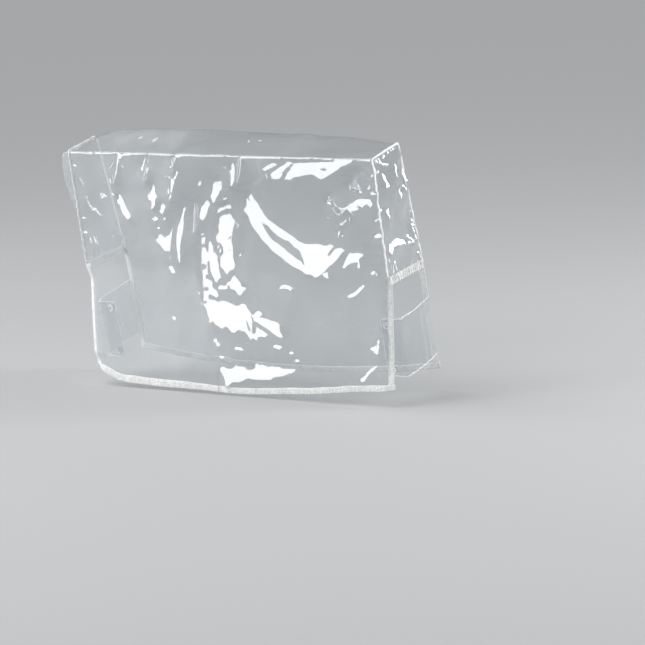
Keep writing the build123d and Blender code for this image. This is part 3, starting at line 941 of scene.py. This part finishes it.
def film_material(haze=0.05, tint=(0.925, 0.935, 0.94)):
    """Thin clear vinyl, a little cloudy, with fine scratches and a painted sheen left of the back's long fold."""
    m = Maker("clear_film")
    here = m.node("TexCoord").outputs["Object"]
    wobble = m.noise(here, 38.0, 3.0, 0.5)
    stretched = m.node("Mapping", Vector=here, Scale=(60.0, 60.0, 900.0), Rotation=(0.5, 0.3, 0.2))
    scratch = m.noise(stretched.outputs["Vector"], 1.0, 4.0, 0.65)
    normal = m.bump(scratch, 0.05, 0.0002, m.bump(wobble, 0.10, 0.0015))
    # Schlick's reflectance, the same from both sides of each face
    facing = m.node("LayerWeight", Blend=0.5).outputs["Facing"]
    fresnel = m.math("MULTIPLY_ADD", m.math("POWER", facing, 5.0), 0.93, 0.048)
    roughness = m.math("MULTIPLY_ADD", scratch, 0.07, 0.005)
    # painted sheen: more milky white haze left of the long fold in the back, standing for a broad dim reflection
    # there; the lower haze elsewhere is the film's own cloudiness
    place = m.node("SeparateXYZ", Vector=here).outputs
    slant = m.math("MULTIPLY_ADD", place["Z"], 0.16, place["X"])
    left = m.remap(slant, -0.066, -0.080, 2 * haze, 4.4 * haze, interpolation_type="SMOOTHSTEP")
    milkiness = m.math("MULTIPLY", m.noise(here, 14.0, 5.0, 0.6), left)
    return m.finish(m.see_through(tint, (0.9, 0.92, 0.94), milkiness, fresnel, roughness, normal))


def fabric_material(name, colour, weave, bump_size=0.0002, rough=0.62, dirt=0.10, painted_shade_stripes=False):
    """White woven tape or thread, a little soiled. The last argument turns on painted shade: darker stripes that
    run along it, standing for the shade in its creases.
    """
    m = Maker(name)
    at = m.node("TexCoord").outputs
    threads = m.noise(at["Object"], weave, 2.0, 0.6)
    soil = m.node("ValToRGB", Fac=m.noise(at["Object"], 26.0, 5.0, 0.65))
    dark = tuple(c * (1 - dirt) for c in colour)
    for k, (position, tone) in enumerate(((0.3, dark), (0.62, colour))):
        stop = soil.color_ramp.elements[k]
        stop.position, stop.color = position, (*tone, 1)
    base = soil.outputs["Color"]
    if painted_shade_stripes:
        # painted shade: darker stripes along the tape, for the shade in its creases
        stretched = m.node("Mapping", Vector=at["UV"], Scale=(190.0, 520.0, 1.0))
        stripe_shade = m.noise(stretched.outputs["Vector"], 1.0, 3.0, 0.55)
        base = m.shade(base, m.remap(stripe_shade, 0.38, 0.58, 0.82, 1.0))
    base = m.shade(base, m.remap(threads, 0.35, 0.6, 0.87, 1.0))
    normal = m.bump(threads, 0.6, bump_size)
    return m.finish(m.node("BsdfPrincipled", Base_Color=base, Normal=normal, Roughness=rough,
                           Sheen_Weight=0.25, Sheen_Roughness=0.4))


def vinyl_material(name, colour, opacity, rough=0.18):
    """Milky welded vinyl, part see-through."""
    m = Maker(name)
    grain = m.noise(m.node("TexCoord").outputs["Object"], 260.0, 3.0, 0.6)
    shader = m.node("BsdfPrincipled", Base_Color=(*colour, 1), Normal=m.bump(grain, 0.4, 0.0004),
                    Roughness=m.math("MULTIPLY_ADD", grain, 0.2, rough - 0.08), Specular_IOR_Level=0.6)
    see = m.node("BsdfTransparent")
    cover = m.math("MULTIPLY_ADD", grain, 0.5, opacity - 0.25)
    return m.finish(m.node("MixShader", cover, see.outputs["BSDF"], shader.outputs["BSDF"]))


# how far the moulded faces of a stud lean from its flat, so that they show the key softbox
STUD_LEAN = (0.073, 0.03, 0.52)
RING_SCALE = 87.0  # of the wave texture: a dome and a ring 3.6 mm from its centre


def stud_material(name, tint, milkiness, shine, centre=None):
    """Clear moulded plastic, bright where a moulded face shows the light. Round a centre it has a dome and a ring,
    mixed with milky white as painted glints; without one, the milk follows the plastic's own cloudiness."""
    m = Maker(name)
    here = m.node("TexCoord").outputs["Object"]
    grain = m.noise(here, 420.0, 3.0, 0.5)
    clouds_and_painted_glint, moulded = grain, None
    if centre is not None:
        place = m.node("Mapping", Vector=here, Location=(-centre[0], 0, -centre[2]), Scale=(1, 0, 1))
        rings = m.node("TexWave", wave_type="RINGS", rings_direction="SPHERICAL", Scale=RING_SCALE,
                       Phase_Offset=pi, Vector=place.outputs["Vector"]).outputs["Fac"]
        # painted glints: milky white on the dome and the ring
        clouds_and_painted_glint = m.remap(rings, 0.4, 0.65, interpolation_type="SMOOTHSTEP")
        lean = m.node("VectorMath", operation="SCALE", Vector=STUD_LEAN, Scale=clouds_and_painted_glint)
        flat = m.node("NewGeometry").outputs["Normal"]
        turned = m.node("VectorMath", flat, lean.outputs["Vector"], operation="ADD")
        straight = m.node("VectorMath", operation="NORMALIZE", Vector=turned.outputs["Vector"])
        moulded = m.bump(rings, 1.0, 0.00035, straight.outputs["Vector"])
    facing = m.node("LayerWeight", Blend=0.5).outputs["Facing"]
    fresnel = m.math("MULTIPLY_ADD", m.math("POWER", facing, 4.0), 0.6, shine)
    return m.finish(m.see_through(
        (tint, tint + 0.005, tint + 0.007), (0.95, 0.96, 0.97), m.math("MULTIPLY", clouds_and_painted_glint, milkiness),
        fresnel, m.math("MULTIPLY_ADD", grain, 0.2, 0.04), m.bump(grain, 0.35, 0.0004, moulded)))


def paint(obj, material):
    obj.data.materials.clear()
    obj.data.materials.append(material)


finishes = {
    "film": film_material(),
    "tape": fabric_material("white_tape", (0.90, 0.90, 0.895), 520.0, 0.0003, dirt=0.06, painted_shade_stripes=True),
    "thread": fabric_material("thread", (0.90, 0.90, 0.89), 2600.0, 0.0001, rough=0.5),
    "welt": vinyl_material("seam_vinyl", (0.94, 0.95, 0.96), 0.95),
}
elastic = fabric_material("white_elastic", (0.80, 0.80, 0.79), 900.0, rough=0.7)
clear_socket = stud_material("clear_socket", 0.965, 0.12, 0.05)

for kind, material in finishes.items():
    for obj in pieces[kind]:
        paint(obj, material)
for name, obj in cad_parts.items():
    if obj.hide_render:
        continue
    if name.endswith("_elastic"):
        paint(obj, elastic)
    elif "_skirt_" in name:
        paint(obj, clear_socket)
    else:
        low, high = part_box(name)
        # the studs' strong milk paints their dome and ring white as glints
        paint(obj, stud_material("clear_stud", 0.86, 0.95, 0.34, (Vector(low) + Vector(high)) / 2))

# ---- floor and light
scene = bpy.context.scene
FLOOR_Z, FLOOR_RINGS, FLOOR_SIDES = -0.3345, (0.4, 1, 2, 4, 8, 16, 32, 60), 64
turns = [2 * pi * k / FLOOR_SIDES for k in range(FLOOR_SIDES)]
verts = [(0.0, 0.0, FLOOR_Z)] + [(r * cos(t), r * sin(t), FLOOR_Z) for r in FLOOR_RINGS for t in turns]
faces = []
for k in range(FLOOR_SIDES):
    a, b = 1 + k, 1 + (k + 1) % FLOOR_SIDES
    faces.append((0, a, b))
    for ring in range(1, len(FLOOR_RINGS)):
        low, high = (ring - 1) * FLOOR_SIDES, ring * FLOOR_SIDES
        faces.append((a + low, a + high, b + high, b + low))
floor_mesh = bpy.data.meshes.new("floor")
floor_mesh.from_pydata(verts, [], faces)
floor = bpy.data.objects.new("floor", floor_mesh)
scene.collection.objects.link(floor)
pale = Maker("pale_floor")
floor_mesh.materials.append(pale.finish(pale.node("BsdfDiffuse", Color=(0.46, 0.465, 0.47, 1))))

world = bpy.data.worlds.new("studio")
scene.world = world
world.use_nodes = True
background = world.node_tree.nodes["Background"].inputs
background["Color"].default_value, background["Strength"].default_value = (0.30, 0.305, 0.31, 1), 1.0


def lamp(data, place, towards):
    obj = bpy.data.objects.new(data.name, data)
    scene.collection.objects.link(obj)
    obj.location = place
    obj.rotation_mode = "QUATERNION"
    obj.rotation_quaternion = Vector(towards).to_track_quat("-Z", "Y")


def softbox(name, place, target, width, height, radiance):
    data = bpy.data.lights.new(name, "AREA")
    data.shape = "RECTANGLE"
    data.size, data.size_y = width, height
    data.energy = radiance * pi * width * height
    lamp(data, place, Vector(target) - Vector(place))


overcast = bpy.data.lights.new("overcast", "SUN")
overcast.energy = 1.9
overcast.angle = radians(50)
lamp(overcast, (0, 0, 0), (0.45, 0.35, -1.0))
softbox("key", *KEY, radiance=7.0)
softbox("left_strip", *LEFT_STRIP, radiance=3.5)
softbox("right_side", *RIGHT_SIDE, radiance=15.0)

# ---- camera
azimuth, elevation, roll = radians(31.724), radians(9.62), radians(-2.301)
back = Vector((sin(azimuth) * cos(elevation), -cos(azimuth) * cos(elevation), sin(elevation)))
level = Vector((cos(azimuth), sin(azimuth), 0))
upright = back.cross(level)
right = cos(roll) * level + sin(roll) * upright
top = -sin(roll) * level + cos(roll) * upright
camera = bpy.data.objects.new("camera", bpy.data.cameras.new("camera"))
scene.collection.objects.link(camera)
camera.data.sensor_width = 36.0
camera.data.lens = 153.13
camera.data.clip_start, camera.data.clip_end = 0.05, 200
camera.matrix_world = Matrix([(right[k], top[k], back[k], VIEWPOINT[k]) for k in range(3)] + [(0, 0, 0, 1)])
scene.camera = camera
scene.view_settings.view_transform = "Standard"
scene.cycles.transparent_max_bounces = 48
scene.cycles.max_bounces = 12
